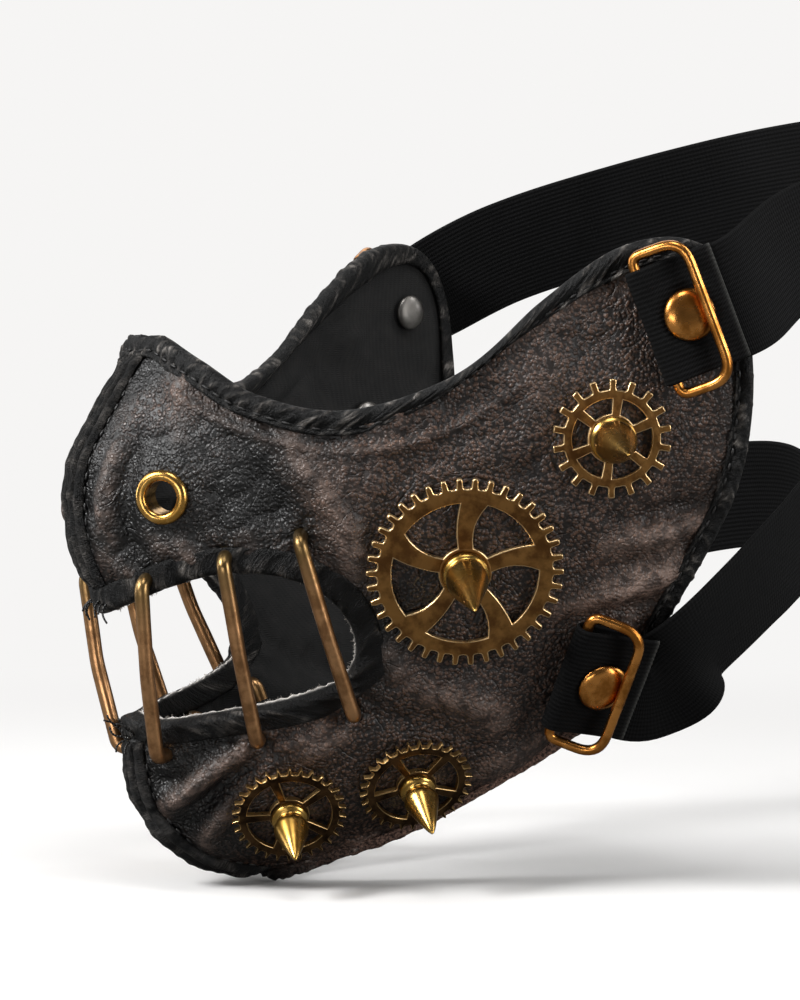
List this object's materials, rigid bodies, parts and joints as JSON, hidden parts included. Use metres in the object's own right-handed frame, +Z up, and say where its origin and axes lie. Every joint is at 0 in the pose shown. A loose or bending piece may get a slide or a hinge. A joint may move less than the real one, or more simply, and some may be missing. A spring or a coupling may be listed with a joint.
{
  "type": "half face mask",
  "caption": "Steampunk leather half mask: barred mouth opening, brass gears with spikes, eyelets, and elastic head straps folded round riveted wire rings.",
  "frame": {"origin": "on the plane of symmetry, inside the wearer's head, level with the middle of the mouth and about 100 mm behind the front of the nose", "axes": "+Z up, +X towards the wearer's left, +Y towards the back of the head; the front of the mask faces -Y"},
  "size_m": [0.1744, 0.2058, 0.1728],
  "materials": {
    "leather": "distressed black-brown grain leather, satin",
    "trim_leather": "creased black leather strips, stitched",
    "lining": "matt black lining",
    "elastic": "ribbed black elastic webbing",
    "antique_bronze": "antiqued bronze, dull with bright edges",
    "bright_brass": "polished yellow brass",
    "gold_brass": "polished gold-tone brass",
    "copper_brass": "warm copper-gold plated wire and rivets",
    "steel": "plain steel"
  },
  "bodies": {
    "mask": {"left_cheek_panel": "leather", "right_cheek_panel": "leather", "left_cheek_lining": "lining", "right_cheek_lining": "lining", "left_edge_binding": "trim_leather", "right_edge_binding": "trim_leather", "left_mouth_trim": "trim_leather", "right_mouth_trim": "trim_leather", "left_nose_welt": "trim_leather", "right_nose_welt": "trim_leather", "left_chin_welt": "trim_leather", "right_chin_welt": "trim_leather", "left_eyelet": "gold_brass", "right_eyelet": "gold_brass", "left_eyelet_washer": "gold_brass", "right_eyelet_washer": "gold_brass", "left_large_gear": "antique_bronze", "right_large_gear": "antique_bronze", "left_large_spike": "bright_brass", "right_large_spike": "bright_brass", "left_large_screw": "steel", "right_large_screw": "steel", "left_medium_gear": "antique_bronze", "right_medium_gear": "antique_bronze", "left_medium_spike": "bright_brass", "right_medium_spike": "bright_brass", "left_medium_screw": "steel", "right_medium_screw": "steel", "left_small_front_gear": "antique_bronze", "right_small_front_gear": "antique_bronze", "left_small_front_spike": "bright_brass", "right_small_front_spike": "bright_brass", "left_small_front_screw": "steel", "right_small_front_screw": "steel", "left_small_rear_gear": "antique_bronze", "right_small_rear_gear": "antique_bronze", "left_small_rear_spike": "bright_brass", "right_small_rear_spike": "bright_brass", "left_small_rear_screw": "steel", "right_small_rear_screw": "steel", "left_front_mouth_bar": "antique_bronze", "right_front_mouth_bar": "antique_bronze", "left_middle_mouth_bar": "antique_bronze", "right_middle_mouth_bar": "antique_bronze", "left_rear_mouth_bar": "antique_bronze", "right_rear_mouth_bar": "antique_bronze", "left_upper_rivet": "copper_brass", "right_upper_rivet": "copper_brass", "left_upper_rivet_back": "steel", "right_upper_rivet_back": "steel", "left_lower_rivet": "copper_brass", "right_lower_rivet": "copper_brass", "left_lower_rivet_back": "steel", "right_lower_rivet_back": "steel", "upper_strap": "elastic", "lower_strap": "elastic"},
    "left_upper_ring": {"left_upper_ring": "copper_brass"},
    "right_upper_ring": {"right_upper_ring": "copper_brass"},
    "left_lower_ring": {"left_lower_ring": "copper_brass"},
    "right_lower_ring": {"right_lower_ring": "copper_brass"}
  },
  "joints": [
    {"name": "left_upper_ring_hinge", "type": "hinge", "parent": "mask", "child": "left_upper_ring", "pos_m": [0.0719, 0.00354, 0.07103], "axis": [0.1255, 0.3355, -0.9336], "range_deg": [0, 110]},
    {"name": "right_upper_ring_hinge", "type": "hinge", "parent": "mask", "child": "right_upper_ring", "pos_m": [-0.0719, 0.00354, 0.07103], "axis": [0.1255, -0.3355, 0.9336], "range_deg": [0, 110]},
    {"name": "left_lower_ring_hinge", "type": "hinge", "parent": "mask", "child": "left_lower_ring", "pos_m": [0.05099, -0.00598, -0.00439], "axis": [-0.4679, -0.112, -0.8766], "range_deg": [0, 110]},
    {"name": "right_lower_ring_hinge", "type": "hinge", "parent": "mask", "child": "right_lower_ring", "pos_m": [-0.05099, -0.00598, -0.00439], "axis": [-0.4679, 0.112, 0.8766], "range_deg": [0, 110]}
  ]
}
